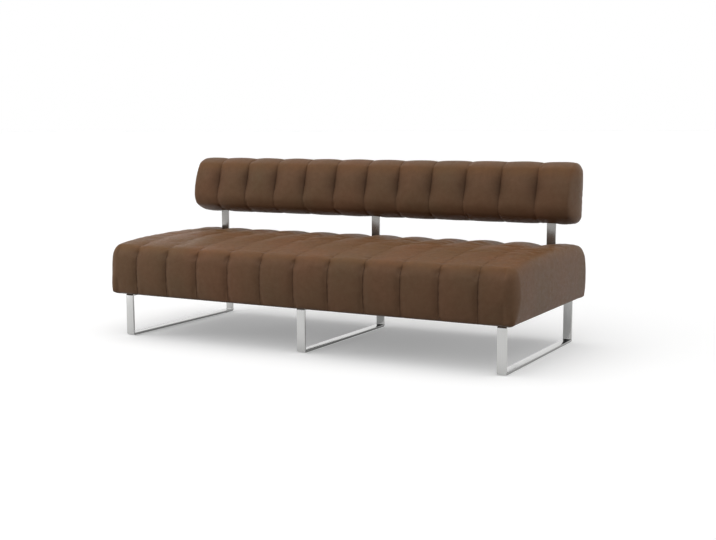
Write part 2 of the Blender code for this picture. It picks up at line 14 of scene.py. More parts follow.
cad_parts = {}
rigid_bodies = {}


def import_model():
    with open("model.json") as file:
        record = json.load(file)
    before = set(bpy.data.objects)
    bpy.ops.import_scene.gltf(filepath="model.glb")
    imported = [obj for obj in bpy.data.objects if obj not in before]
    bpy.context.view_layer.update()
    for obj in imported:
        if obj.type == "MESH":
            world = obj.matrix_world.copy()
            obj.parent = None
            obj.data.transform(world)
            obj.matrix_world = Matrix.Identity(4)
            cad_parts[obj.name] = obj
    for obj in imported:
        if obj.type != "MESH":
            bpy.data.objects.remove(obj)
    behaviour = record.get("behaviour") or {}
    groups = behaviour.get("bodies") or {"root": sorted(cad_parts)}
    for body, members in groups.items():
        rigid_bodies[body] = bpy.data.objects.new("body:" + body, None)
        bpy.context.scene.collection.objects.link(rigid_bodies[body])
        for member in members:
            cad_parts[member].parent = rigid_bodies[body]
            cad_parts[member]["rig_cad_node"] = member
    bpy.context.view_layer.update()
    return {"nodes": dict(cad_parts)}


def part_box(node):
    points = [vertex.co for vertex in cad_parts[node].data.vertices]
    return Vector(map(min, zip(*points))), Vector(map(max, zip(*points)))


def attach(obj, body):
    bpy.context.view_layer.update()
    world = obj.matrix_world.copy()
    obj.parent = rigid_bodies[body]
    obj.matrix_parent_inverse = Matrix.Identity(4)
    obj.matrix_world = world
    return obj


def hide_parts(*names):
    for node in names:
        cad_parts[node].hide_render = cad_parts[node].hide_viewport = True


SIDES = ("left", "middle", "right")
ENDS = ("front", "rear")

# Stitched channels, the same on the seat and the back
CHANNELS = 12
CHANNEL_PITCH = 0.1685
SEAMS = np.array([CHANNEL_PITCH * (i - CHANNELS / 2) for i in range(1, CHANNELS)])
CREASE_WIDTH = 0.0045
PAINTED_SHADE_DEPTH = 0.020  # depth below the crest at which the painted shade in the hollows is darkest
PUCKER_REACH = 0.012  # how far the small folds run out of a seam
PUCKER_HEIGHT = 0.0022
PUCKER_SPACING = 0.016
UNEVEN_HEIGHT = 0.0012
UNEVEN_SPACING = 0.09
PAD_UNEVEN_SPACING = 0.08

# Spacing of the soft pieces' points
SEAM_STEPS = (0.0012, 0.003, 0.0058, 0.0095, 0.0145, 0.021, 0.030, 0.042, 0.056, 0.070)
EDGE_STEPS = 6
PANEL_EDGE_STEPS = 3
LOWER_EDGE_STEPS = 6
END_SPACING = 0.014
SEAT_HEIGHT_SPACING = 0.011
SEAT_DEPTH_SPACING = 0.013
PAD_SPACING = 0.010
PANEL_SPACING = (0.02, 0.01, 0.012)
CLOTH_SPACING = 0.012

# Seat's form
SEAT_RIM = 0.4235  # height of the top's front edge, below the crown
SEAT_RADII = np.array((0.054, 0.054, 0.056))  # rounding along each axis
SEAT_EDGE_POWER = 2.6  # above 2, the top's edges are squarer than a round
SEAT_CORNER_POWER = 6.0  # above 2, the upright corners are squarer towards their lower ends
SEAT_CROWN = 0.0450
CROWN_PLACE = 0.07  # how far behind the middle the crown is highest
CROWN_SHIFT = 0.14  # how much further back it is highest at the two ends
CROWN_POWER = 2.6
CROWN_END_FLATNESS = 2.6  # how much the power grows towards the two ends
CROWN_LOSS = 0.39  # share of the crown that is lost at the seat's two ends
CROWN_END_POWER = 12
SEAT_FULLEST = 0.310  # height at which the sides bulge most
DRAW_IN_FRONT = 0.012
DRAW_IN_END = 0.013
END_TUCK = 1.45  # how much more the ends are drawn in below their fullest height
SEAT_LOWER_RADIUS = 0.013
LOWER_TURN_POWER = 1.5
SEAT_RIM_LIFT = 0.004  # how much higher the lower edge lies than the underside
UNDERSIDE_STEP = 0.0019  # how deep the dust cloth lies inside the turned-in leather
UNDERSIDE_STEP_WIDTH = 0.001  # from the cloth's edge to each end of the step
SEAT_DIMPLE = 0.007  # how far the uprights press the top in
SEAT_DIMPLE_REACH = 0.011

# Seat's channels
TOP_PUFF = 0.0210  # towards the rear of the top
TOP_CALM = 0.80  # share of it that is lost from the middle of the seat forwards
TOP_FULL_FROM = 0.26  # how far behind the middle the top's channels are fullest
TOP_ROUNDNESS = 2.0
TOP_CREASE = 0.0030
TOP_SEAM = 0.4  # how much a seam shows in the middle of the top
TOP_SEAM_FADE = 0.06  # how far a seam's crease shows past the rounded edges of the top
SHOULDER_PUFF = 0.0070  # added on the rounded edges of the top
SIDE_PUFF = 0.0070
SIDE_ROUNDNESS = 2.6
SIDE_CREASE = 0.0050
WAIST_LEAST = 0.5  # share of the seams' depth at the sides' upper and lower ends
# Width of the dark thread and the painted shade in each seam's fold
THREAD_AND_SHADE_WIDTH = 0.0016

# Back pad, drawn in a frame that leans about the uprights' bend
BACK_PIVOT = Vector((0, 0.310, 0.534))
BACK_LEAN = math.radians(5.0)
PAD_SHIFT = -0.006  # how far the pad sits to the left of the seat's middle
PAD_STRETCH = 0.005  # how far the pad's ends swell past their solid
PAD_FRONT = -0.052
PAD_REAR = 0.053
PAD_LOW = 0.005
PAD_HIGH = 0.278
PAD_MIDDLE = (PAD_LOW + PAD_HIGH) / 2
PAD_RADII = np.array((0.030, 0.045, 0.036))
PAD_SWELL = 0.060
PAD_SWELL_POWER = 0.85  # below 1, the swelling turns more sharply at the top and bottom
PAD_FULLEST = 0.090  # height at which the front swells most
PAD_TAPER = 0.010  # how much lower the top lies at the two ends, and higher the bottom
PAD_TAPER_LENGTH = 0.080
PAD_DRAW_IN = 0.008  # how far the ends' upper corners lean in
PAD_DIMPLE = 0.006  # how far the uprights press the pad's lower side in
PAD_DIMPLE_REACH = 0.010

# Back pad's channels
PAD_SEAM_SHIFT = -0.009  # how much further than the pad its seams lie to the left
GATHER_HEIGHT = 0.015  # above the pad's middle, where the seams pull in most
GATHER_SPREAD = 0.075
PAD_PUFF = 0.0180
PAD_PUFF_LEAST = 0.24  # share of the puff where the seams pull in least
PAD_UNDER_CALM = 0.7  # share of the puff that is lost on the lower side
PAD_ROUNDNESS = 2.1
PAD_CREASE = 0.0050
PAD_CREASE_LEAST = 0.3
# Dark thread and painted shade in the pad's seams, strongest where the seams pull in most
PAD_THREAD_AND_SHADE_WIDTH = 0.0034
PAD_THREAD_AND_SHADE_LEAST = 0.05
PAD_THREAD_AND_SHADE_GATHERED = 0.60
PAD_WORN_AND_WARM_LIT = 0.8  # how strongly the band below the top edge is tinted, for wear and painted warm light
PAD_WORN_AND_WARM_LIT_HEIGHT = 0.240
PAD_WORN_AND_WARM_LIT_SPREAD = 0.030
PAD_TOP_WORN_AND_WARM_LIT = 0.4

# Panel that closes the pad's rear
PANEL_RIM = 0.030  # pad's end, top or bottom to the panel's edge
PANEL_RADIUS = 0.005
PANEL_SUNK = 0.012  # how deep the panel's edges reach into the pad
PANEL_PROUD = 0.001
PANEL_HEIGHT = 0.006
PANEL_LEVEL_POWER = 4
PANEL_END_POWER = 12

# Swelling of the leather as cloth, between the places that hold it
SEAT_START = 0.0040  # how much smaller the seat starts
PAD_START = 0.0013
SWELL_PRESSURE = 0.4
SWELL_CAP = 0.0045
SWELL_FRAMES = 16
SWELL_QUALITY = 4
LEATHER_STIFFNESS = 40.0
LEATHER_BENDING = 2.0
LEATHER_SLACK = -0.01  # below zero, the leather is cut larger than what it covers
HELD_WIDTH = 0.006  # how far a seam's hold reaches
END_HOLD = 1.5  # the plain ends are held where they face out by 1 / END_HOLD or more

# Flat bar
BAR_WIDTH = 0.040
BAR_THICKNESS = 0.010
BAR_EDGE = 0.0010
BAR_EDGE_STEPS = 3
BAR_SHARP = math.radians(50)  # sharper turns than this are shaded as edges
BEND_RADIUS = 0.0015
BEND_STEPS = 10
UPRIGHT_X = (-0.875, 0.0, 0.875)
UPRIGHT_BEND = 0.006  # half the height over which an upright bends
UPRIGHT_STEPS = 6
UPRIGHT_TOP_GAP = 0.001  # how much lower the middle of its end lies than its solid's top

# Small pieces
TURNED_SEGMENTS = 36
TURNED_SHARP = math.radians(35)
TIP = 0.001  # chamfer at the end of a stem or shank
GLIDE_HEIGHT = 0.0025
GLIDE_STEM = 0.004
# Heights on a glide's rim, and how far inside the radius it lies there
GLIDE_RIM = ((0.0, 0.0016), (0.0004, 0.0006), (0.0011, 0.0), (0.0020, 0.0), (GLIDE_HEIGHT, 0.0005))
BOLT_HEAD = 0.0045
BOLT_SHANK = 0.004
# Heights on a bolt's head, and its share of the full radius there
BOLT_DOME = ((0.0, 0.60), (0.0008, 0.78), (0.0020, 0.92), (0.0034, 0.99), (BOLT_HEAD, 1.0))
SOCKET_DEPTH = 0.0026
SOCKET_BOTTOM = 0.0024  # from the socket's middle to its flat sides
SOCKET_MOUTH = 0.0025
CLOTH_SAG = 0.004
CLOTH_FREE = 0.25  # distance from a leg at which the cloth sags fully
CLOTH_GAP = 0.0004  # below the top of its solid
CLOTH_RIPPLE = 0.0008
CLOTH_RIPPLE_SCALE = (9, 14)

# Leather's colours and finish
GREY_BROWN = (0.138, 0.086, 0.049)
RED_BROWN = (0.168, 0.087, 0.050)
# Warmer tint on faces that look up: wear, and painted warm light from above
WORN_AND_WARM_LIT_TINT = (1.12, 0.95, 0.68)
MOTTLE = (0.115, 0.060, 0.031)
PORE = (0.060, 0.030, 0.016)
# Painted shade in the channels' hollows near the seams
PAINTED_HOLLOW_SHADE = (0.050, 0.024, 0.012)
# Dark thread, and painted shade in the seams' folds
THREAD_AND_SEAM_SHADE = (0.026, 0.013, 0.008)
MOTTLE_SHARE = 0.5
PORE_SHARE = 0.30
PAINTED_HOLLOW_SHADE_SHARE = 0.55
THREAD_AND_SEAM_SHADE_SHARE = 0.55
PORE_SCALE = 420.0
PORE_EDGE = 0.16
LEATHER_ROUGHNESS = (0.38, 0.50)
LEATHER_SPECULAR = 0.08

# Dark and light tones of the other materials
STEEL = ((0.46, 0.46, 0.455), (0.56, 0.56, 0.55))
# Lighter steel on the legs' thin sides: a painted highlight
STEEL_EDGE_PAINTED_HIGHLIGHT = ((0.50, 0.50, 0.49), (0.62, 0.62, 0.61))
# Darker steel on the thin sides along the floor: painted shade
STEEL_EDGE_PAINTED_SHADE = ((0.24, 0.24, 0.235), (0.33, 0.33, 0.325))
# Darker steel on the uprights: a painted reflection of the dark leather
STEEL_PAINTED_DARK_REFLECTION = ((0.24, 0.235, 0.225), (0.31, 0.30, 0.29))
BEECH = ((0.40, 0.25, 0.13), (0.56, 0.38, 0.22))
PLYWOOD = ((0.46, 0.33, 0.19), (0.62, 0.47, 0.29))
ZINC = ((0.55, 0.56, 0.57), (0.68, 0.69, 0.70))
NYLON = ((0.022, 0.022, 0.023), (0.04, 0.04, 0.041))
BLACK_CLOTH = ((0.012, 0.012, 0.012), (0.03, 0.03, 0.03))
STEEL_GRAIN = (4.0, 900.0, 1.0)
BEECH_GRAIN = (6.0, 90.0, 90.0)
PLYWOOD_GRAIN = (5.0, 60.0, 300.0)

# Camera, at the photograph's angle
CAMERA_PLACE = (2.5207, -4.4475, 0.967)
CAMERA_YAW = 0.50314
CAMERA_PITCH = 0.12616
CAMERA_ROLL = -0.0030
CAMERA_LENS = 56.854
CAMERA_SENSOR = 36.0

# Floor and lights
WHITE = (1.0, 1.0, 1.0, 1.0)
FLOOR_SIZE = 400.0
FLOOR_ROUGHNESS = 0.9
FLOOR_TONE = 0.80  # as it is seen
FLOOR_BOUNCE = 0.22  # as it lights the bench
FLOOR_LIFT = 0.27  # glow that is seen but lights nothing
WORLD_LEVEL = 0.31
OVERHEAD_DIRECTION = (72, -5)  # elevation and azimuth, in degrees
OVERHEAD_SPREAD = 90
OVERHEAD_LEVEL = 0.60
LEFT_PLACE = Vector((-4.2, -2.8, 0.8))
LEFT_TARGET = Vector((0, -0.2, 0.45))
LEFT_SIZE = 1.6
LEFT_LEVEL = 0.34
RIGHT_DIRECTION = (10, 105)
RIGHT_SPREAD = 30
RIGHT_LEVEL = 0.295

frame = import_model()
nodes = frame["nodes"]


# Lattices
def edge_steps(low, high, radius, steps=EDGE_STEPS):
    """Cut positions that give each rounded edge even steps."""
    reach = [radius * math.tan(math.pi / 4 * i / steps) for i in range(steps)]
    lower = [low + radius - r for r in reach[::-1]]
    upper = [high - radius + r for r in reach]
    return [low] + lower + upper + [high]


def between(low, high, spacing):
    """Evenly spaced positions between two ends, without the ends."""
    count = max(1, round((high - low) / spacing))
    return [low + (high - low) * i / count for i in range(1, count)]


def rounded_line(low, high, radius, spacing, steps=EDGE_STEPS):
    """Cut positions along one axis of a box with rounded edges."""
    return edge_steps(low, high, radius, steps) + between(low + radius, high - radius, spacing)


def channel_steps(half, radius, shift=0.0):
    """Cut positions along the length, close together at each seam."""
    found = set()
    seams = SEAMS + shift
    for seam in seams:
        found.add(seam)
        for step in SEAM_STEPS:
            found.add(seam - step)
            found.add(seam + step)
    for left in seams[:-1]:
        found.add(left + CHANNEL_PITCH / 2)
    found.update(between(seams[-1] + SEAM_STEPS[-1], half - radius, END_SPACING))
    found.update(between(radius - half, seams[0] - SEAM_STEPS[-1], END_SPACING))
    return sorted(found) + edge_steps(-half, half, radius)


def box_surface(stations):
    """Points and quads on the surface of a box that is cut at the given positions along each axis."""
    lines = [sorted(set(round(float(place), 6) for place in line)) for line in stations]
    points = []
    index = {}
    faces = []
    for axis in range(3):
        u = (axis + 1) % 3
        v = (axis + 2) % 3
        for end in (0, len(lines[axis]) - 1):
            for a in range(len(lines[u]) - 1):
                for b in range(len(lines[v]) - 1):
                    quad = []
                    for da, db in ((0, 0), (1, 0), (1, 1), (0, 1)):
                        key = [0, 0, 0]
                        key[axis] = end
                        key[u] = a + da
                        key[v] = b + db
                        key = tuple(key)
                        if key not in index:
                            index[key] = len(points)
                            points.append([lines[i][key[i]] for i in range(3)])
                        quad.append(index[key])
                    faces.append(quad if end else quad[::-1])
    return np.array(points), faces


def rounded(points, low, high, radii, round_low=True, power=2.0):
    """Rounds a box's edges. Returns the moved points and the direction out of the surface at each.

    A sharp lower face stays flat, and the direction shrinks to nothing there towards the middle. Upright
    edges are round, and with a power above 2 the level ones are squarer.
    """
    core_low = np.array(low) + radii
    core_high = np.array(high) - radii
    if not round_low:
        core_low[2] = low[2]
    core = np.clip(points, core_low, core_high)
    beyond = (points - core) / radii
    share = np.abs(beyond).max(axis=1, keepdims=True)
    level = np.linalg.norm(beyond[:, :2], axis=1, keepdims=True)
    size = (level ** power + np.abs(beyond[:, 2:]) ** power) ** (1 / power)
    beyond *= share / np.maximum(size, 1e-9)
    outward = beyond / radii
    outward[:, :2] *= np.linalg.norm(beyond[:, :2], axis=1, keepdims=True) ** (power - 2)
    outward[:, 2] *= np.abs(beyond[:, 2]) ** (power - 2)
    outward *= share / np.maximum(np.linalg.norm(outward, axis=1, keepdims=True), 1e-9)
    return core + radii * beyond, outward


def mesh_object(name, points, faces):
    mesh = bpy.data.meshes.new(name)
    mesh.from_pydata([tuple(p) for p in points], [], faces)
    mesh.validate()
    obj = bpy.data.objects.new(name, mesh)
    bpy.context.scene.collection.objects.link(obj)
    return obj


def face_outward(obj):
    """Turns all faces of a closed mesh to face out."""
    bm = bmesh.new()
    bm.from_mesh(obj.data)
    bmesh.ops.recalc_face_normals(bm, faces=bm.faces)
    bm.to_mesh(obj.data)
    bm.free()


def point_values(obj, values):
    """Stores named numbers for each point of a mesh, for its material to read."""
    for name, numbers in values.items():
        attribute = obj.data.attributes.new(name, "FLOAT", "POINT")
        attribute.data.foreach_set("value", np.asarray(numbers, np.float32))


# Sewn leather
def fade(share, least):
    """Goes from least to 1 as share goes from 0 to 1."""
    return least + (1 - least) * share


def seam_distance(x):
    return np.abs(x[:, None] - SEAMS[None, :]).min(axis=1)


def puff(away, roundness):
    """How far a channel's surface has fallen from its crest, as a share, by distance from the seam."""
    return np.clip(1 - away / (CHANNEL_PITCH / 2), 0, 1) ** roundness


def soft_valley(away):
    """As puff, with no crease at the seam."""
    return 0.5 + 0.5 * np.cos(np.pi * np.minimum(1, away / (CHANNEL_PITCH / 2)))


def crease(away):
    """The narrow fold at a seam, as a share of its depth."""
    return np.exp(-away / CREASE_WIDTH)


def seam_hold(away):
    """How firmly a seam holds the leather near it."""
    return np.exp(-(away / HELD_WIDTH) ** 2)


def puckers(points, away):
    """Small folds that run out of the seams, different in each channel."""
    found = np.zeros(len(points))
    for i in np.nonzero(away < 3 * PUCKER_REACH)[0]:
        x, y, z = points[i]
        channel = math.floor(x / CHANNEL_PITCH)
        place = Vector((channel * 3.7 + x * 4, (y - z) / PUCKER_SPACING, (y + z) / PUCKER_SPACING * 0.5))
        found[i] = noise.noise(place) * math.exp(-away[i] / PUCKER_REACH)
    return PUCKER_HEIGHT * found


def unevenness(points, spacing):
    """Slow swelling and sinking of the filling."""
    return UNEVEN_HEIGHT * np.array([noise.noise(Vector(p) / spacing) for p in points])


def near_uprights(x, y, middle, reach):
    """1 at the faces of the uprights, falling off with the distance from them. Their Y is middle."""
    found = np.zeros(len(x))
    for post in UPRIGHT_X:
        dx = np.maximum(np.abs(x - post) - BAR_WIDTH / 2, 0)
        dy = np.maximum(np.abs(y - middle) - BAR_THICKNESS / 2, 0)
        found += np.exp(-np.hypot(dx, dy) / reach)
    return found


def swell(obj, outward, held, start_depth):
    """Lets leather swell as cloth under pressure, from a smaller start, and applies that to the mesh."""
    count = len(obj.data.vertices)
    full = np.empty(count * 3)
    obj.data.vertices.foreach_get("co", full)
    start = full.reshape(-1, 3) - start_depth * (1 - held)[:, None] * outward
    obj.data.vertices.foreach_set("co", start.ravel())
    group = obj.vertex_groups.new(name="held")
    for i, weight in enumerate(held):
        group.add([i], weight, "REPLACE")
    cloth = obj.modifiers.new("swelling", "CLOTH")
    cloth.point_cache.frame_start = 1
    cloth.point_cache.frame_end = SWELL_FRAMES
    cloth.collision_settings.use_collision = False
    settings = cloth.settings
    settings.quality = SWELL_QUALITY
    settings.tension_stiffness = LEATHER_STIFFNESS
    settings.compression_stiffness = LEATHER_STIFFNESS
    settings.shear_stiffness = LEATHER_STIFFNESS / 2
    settings.bending_stiffness = LEATHER_BENDING
    settings.shrink_min = LEATHER_SLACK
    settings.vertex_group_mass = group.name
    settings.use_pressure = True
    settings.uniform_pressure_force = SWELL_PRESSURE
    settings.effector_weights.gravity = 0
    for step in range(1, SWELL_FRAMES + 1):
        bpy.context.scene.frame_set(step)
    swollen = np.empty(count * 3)
    graph = bpy.context.evaluated_depsgraph_get()
    obj.evaluated_get(graph).data.vertices.foreach_get("co", swollen)
    change = swollen.reshape(-1, 3) - start
    size = np.linalg.norm(change, axis=1, keepdims=True)
    change *= SWELL_CAP * np.tanh(size / SWELL_CAP) / np.maximum(size, 1e-9)
    obj.modifiers.remove(cloth)
    obj.vertex_groups.remove(group)
    obj.data.vertices.foreach_set("co", (start + change).ravel())
    obj.data.update()
    bpy.context.scene.frame_set(1)


# Seat cushion
def lower_edge(z, low):
    """1 at the seat's underside, falling to 0 where its lower edge starts to turn in."""
    return np.clip((low + SEAT_LOWER_RADIUS - z) / SEAT_LOWER_RADIUS, 0, 1)


def seat_seams(points, outward, low, half):
    """How deep the seams draw the seat in, its material's numbers, and how firmly each point is held."""
    x, y, z = points.T
    away = seam_distance(x)
    top = np.clip(outward[:, 2], 0, 1)
    under = lower_edge(z, low)
    waist = np.clip(1 - (2 * (z - low) / (SEAT_RIM - low) - 1) ** 2, 0, 1)
    side_depth = SIDE_PUFF * puff(away, SIDE_ROUNDNESS) * fade(waist, WAIST_LEAST)
    side_depth += SIDE_CREASE * crease(away)
    fullness = 1 - TOP_CALM * np.clip(1 - y / TOP_FULL_FROM, 0, 1)
    shown = np.exp(-np.maximum(0, half[1] - SEAT_RADII[1] - np.abs(y)) / TOP_SEAM_FADE)
    sharp = np.maximum(shown, np.clip(y / TOP_FULL_FROM, 0, 1))
    valley = sharp * puff(away, TOP_ROUNDNESS) + (1 - sharp) * soft_valley(away)
    top_depth = TOP_PUFF * fullness * valley + TOP_CREASE * np.maximum(shown, TOP_SEAM) * crease(away)
    depth = (side_depth * (1 - top) + top_depth * top) * (1 - under / 2)
    depth += SHOULDER_PUFF * 4 * top * (1 - top) * puff(away, SIDE_ROUNDNESS)
    marked = 1 - top * (1 - 0.5 * shown)  # fully on the sides, by half at the top's edges
    sewn = np.maximum(marked, TOP_SEAM * top)
    # Painted shade in the hollows, dark thread with painted shade along the seams, and a warmer tint on
    # upward faces from wear and painted warm light
    values = {
        "hollow": np.clip(depth / PAINTED_SHADE_DEPTH, 0, 1) * marked,
        "thread_and_seam_shade": np.exp(-away / THREAD_AND_SHADE_WIDTH) * sewn * fade(np.maximum(waist, top), WAIST_LEAST),
        "worn_and_warm_lit": top ** 2,
    }
    held = np.maximum(under, seam_hold(away) * sewn)
    held = np.maximum(held, np.clip(END_HOLD * np.abs(outward[:, 0]), 0, 1))
    held[np.linalg.norm(outward, axis=1) < 0.999] = 1  # the flat underside
    depth -= puckers(points, away)
    depth -= unevenness(points, UNEVEN_SPACING)
    return depth, values, held


def seat_crown(x, y, half):
    """How far the top has risen from its edges to its crown, as a share."""
    near_end = (np.abs(x) / half[0]) ** CROWN_END_POWER
    place = CROWN_PLACE + CROWN_SHIFT * near_end
    reach = half[1] - np.where(y < place, -place, place)
    power = CROWN_POWER + CROWN_END_FLATNESS * near_end
    across = 1 - np.minimum(1, np.abs(y - place) / reach) ** power
    return across * (1 - CROWN_LOSS * near_end)


def squarer_corner(outward, power):
    """How far the seat's points move out in plan, for upright corners that are squarer than a round."""
    reach = np.linalg.norm(outward[:, :2], axis=1)
    turn = outward[:, :2] / np.maximum(reach, 1e-9)[:, None]
    size = (np.abs(turn) ** power[:, None]).sum(axis=1)
    stretch = np.maximum(size, 1e-9) ** (-1 / power) - 1
    stretch[reach < 1e-6] = 0
    return SEAT_RADII[:2] * turn * (stretch * reach)[:, None]


def seat_form(points, outward, depth, low, half):
    """The seat's points with seams, crown, bulging sides, rounded lower edge and the uprights' dimples."""
    x, y, z = points.T
    under = lower_edge(z, low)
    turned_in = SEAT_LOWER_RADIUS * under ** LOWER_TURN_POWER
    drawn = ((SEAT_FULLEST - z) / (SEAT_FULLEST - low)) ** 2
    end_drawn = DRAW_IN_END * drawn * np.where(z < SEAT_FULLEST, END_TUCK, 1.0)
    corner_power = 2 + (SEAT_CORNER_POWER - 2) * np.clip(drawn, 0, 1) * (z < SEAT_FULLEST)
    rise = (z - low) / (SEAT_RIM - low)
    moved = points - depth[:, None] * outward * (1 - np.abs(outward[:, :1]))
    moved[:, 0] -= (end_drawn + turned_in) * outward[:, 0]
    moved[:, 1] -= (DRAW_IN_FRONT * drawn + turned_in) * outward[:, 1]
    moved[:, :2] += squarer_corner(outward, corner_power)
    moved[:, 2] += SEAT_CROWN * seat_crown(x, y, half) * rise ** 2
    moved[:, 2] += SEAT_RIM_LIFT * under * np.hypot(outward[:, 0], outward[:, 1]) ** 3
    dimple = SEAT_DIMPLE * near_uprights(x, y, BACK_PIVOT.y, SEAT_DIMPLE_REACH)
    moved[:, 2] -= dimple * np.clip(outward[:, 2], 0, 1)
    return moved


def seat_lines(low, half, cloth):
    """Cut positions along each axis of the seat, also close on both sides of the dust cloth's edges."""
    lengths = channel_steps(half.x, SEAT_RADII[0])
    depths = rounded_line(-half.y, half.y, SEAT_RADII[1], SEAT_DEPTH_SPACING)
    shoulder = SEAT_RIM - SEAT_RADII[2]
    heights = [low.z]
    heights += [SEAT_LOWER_RADIUS * i / LOWER_EDGE_STEPS + low.z for i in range(1, LOWER_EDGE_STEPS + 1)]
    heights += between(low.z + SEAT_LOWER_RADIUS, shoulder, SEAT_HEIGHT_SPACING)
    heights += [place for place in edge_steps(low.z, SEAT_RIM, SEAT_RADII[2]) if place > shoulder - 1e-6]
    for step in (-UNDERSIDE_STEP_WIDTH, UNDERSIDE_STEP_WIDTH):
        lengths += [-cloth.x + step, cloth.x + step]
        depths += [-cloth.y + step, cloth.y + step]
    return lengths, depths, heights


def build_seat():
    low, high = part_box("seat_cover")
    half = (high - low) / 2
    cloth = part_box("dust_cover")[1]
    corner_low = (-half.x, -half.y, low.z)
    corner_high = (half.x, half.y, SEAT_RIM)
    points, faces = box_surface(seat_lines(low, half, cloth))
    points, outward = rounded(points, corner_low, corner_high, SEAT_RADII, False, SEAT_EDGE_POWER)
    inside = (np.abs(points[:, 0]) < cloth.x) & (np.abs(points[:, 1]) < cloth.y)
    inside &= points[:, 2] < low.z + 1e-6
    depth, values, held = seat_seams(points, outward, low.z, half)
    moved = seat_form(points, outward, depth, low.z, half)
    moved[inside, 2] += UNDERSIDE_STEP
    seat = mesh_object("seat_cushion", moved, faces)
    point_values(seat, values)
    swell(seat, outward, held, SEAT_START)
    seat.data.shade_smooth()
    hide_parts("seat_cover", "seat_foam")
    return seat


# Back pad
def lean(points):
    """Takes points from the pad's own frame to the bench's."""
    turn = np.array(Matrix.Rotation(-BACK_LEAN, 3, "X"))
    return points @ turn.T + np.array(BACK_PIVOT)


def pad_seams(points, outward):
    """How deep the seams draw the pad in, its material's numbers, and how firmly each point is held."""
    z = points[:, 2]
    away = seam_distance(points[:, 0] - PAD_SEAM_SHIFT)
    front = np.clip(-outward[:, 1], 0, 1)
    below = np.clip(-outward[:, 2], 0, 1)
    gathered = front * np.exp(-((z - PAD_MIDDLE - GATHER_HEIGHT) / GATHER_SPREAD) ** 2)
    pulled = fade(gathered, PAD_CREASE_LEAST)
    puff_depth = PAD_PUFF * fade(gathered, PAD_PUFF_LEAST) * (1 - PAD_UNDER_CALM * below)
    depth = puff_depth * puff(away, PAD_ROUNDNESS) + PAD_CREASE * pulled * crease(away)
    # A warmer band below the pad's top edge: wear, and painted warm light
    worn_and_warm_lit_band = PAD_WORN_AND_WARM_LIT * np.exp(-((z - PAD_WORN_AND_WARM_LIT_HEIGHT) / PAD_WORN_AND_WARM_LIT_SPREAD) ** 2)
    # Painted shade in the hollows, dark thread with painted shade along the seams, and a warmer band from
    # wear and painted warm light
    values = {
        "hollow": np.clip(depth / PAINTED_SHADE_DEPTH * pulled, 0, 1),
        "thread_and_seam_shade": np.exp(-away / PAD_THREAD_AND_SHADE_WIDTH) * (PAD_THREAD_AND_SHADE_LEAST + PAD_THREAD_AND_SHADE_GATHERED * gathered),
        "worn_and_warm_lit": np.maximum(PAD_TOP_WORN_AND_WARM_LIT * np.clip(outward[:, 2], 0, 1) ** 2, worn_and_warm_lit_band),
    }
    held = np.maximum(seam_hold(away) * pulled, np.clip(outward[:, 1], 0, 1))
    depth -= puckers(points, away)
    depth -= unevenness(points, PAD_UNEVEN_SPACING)
    return depth, values, held


def pad_form(points, outward, depth, half):
    """The pad's points with its seams, swelling front, tapered ends and dimples at the uprights."""
    x, y, z = points.T
    front = np.clip(-outward[:, 1], 0, 1)
    below = np.clip(-outward[:, 2], 0, 1)
    height = (z - PAD_MIDDLE) / (PAD_HIGH - PAD_MIDDLE)
    limit = np.where(z > PAD_FULLEST, PAD_HIGH, PAD_LOW)
    level = np.minimum(1, (z - PAD_FULLEST) / (limit - PAD_FULLEST))
    near_end = np.clip((np.abs(x) - half) / PAD_TAPER_LENGTH + 1, 0, 1) ** 2
    moved = points - depth[:, None] * outward * (1 - np.abs(outward[:, :1]))
    moved[:, 0] -= PAD_DRAW_IN * np.clip(height, 0, 1) ** 3 * outward[:, 0]
    moved[:, 0] += PAD_SHIFT
    moved[:, 1] -= PAD_SWELL * (1 - level ** 2) ** PAD_SWELL_POWER * front
    moved[:, 2] -= PAD_TAPER * near_end * height
    moved[:, 2] += PAD_DIMPLE * near_uprights(x + PAD_SHIFT, y, 0.0, PAD_DIMPLE_REACH) * below
    return moved


def build_back():
    low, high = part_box("back_cover")
    half = (high.x - low.x) / 2 + PAD_STRETCH
    corner_low = (-half, PAD_FRONT, PAD_LOW)
    corner_high = (half, PAD_REAR, PAD_HIGH)
    lengths = channel_steps(half, PAD_RADII[0], PAD_SEAM_SHIFT)
    depths = rounded_line(PAD_FRONT, PAD_REAR, PAD_RADII[1], PAD_SPACING)
    heights = rounded_line(PAD_LOW, PAD_HIGH, PAD_RADII[2], PAD_SPACING)
    points, faces = box_surface([lengths, depths, heights])
    points, outward = rounded(points, corner_low, corner_high, PAD_RADII)
    depth, values, held = pad_seams(points, outward)
    moved = pad_form(points, outward, depth, half)
    pad = mesh_object("back_cushion", lean(moved), faces)
    point_values(pad, values)
    swell(pad, lean(outward) - np.array(BACK_PIVOT), held, PAD_START)
    pad.data.shade_smooth()
    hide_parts("back_cover", "back_foam_front", "back_foam_rear")
    return pad


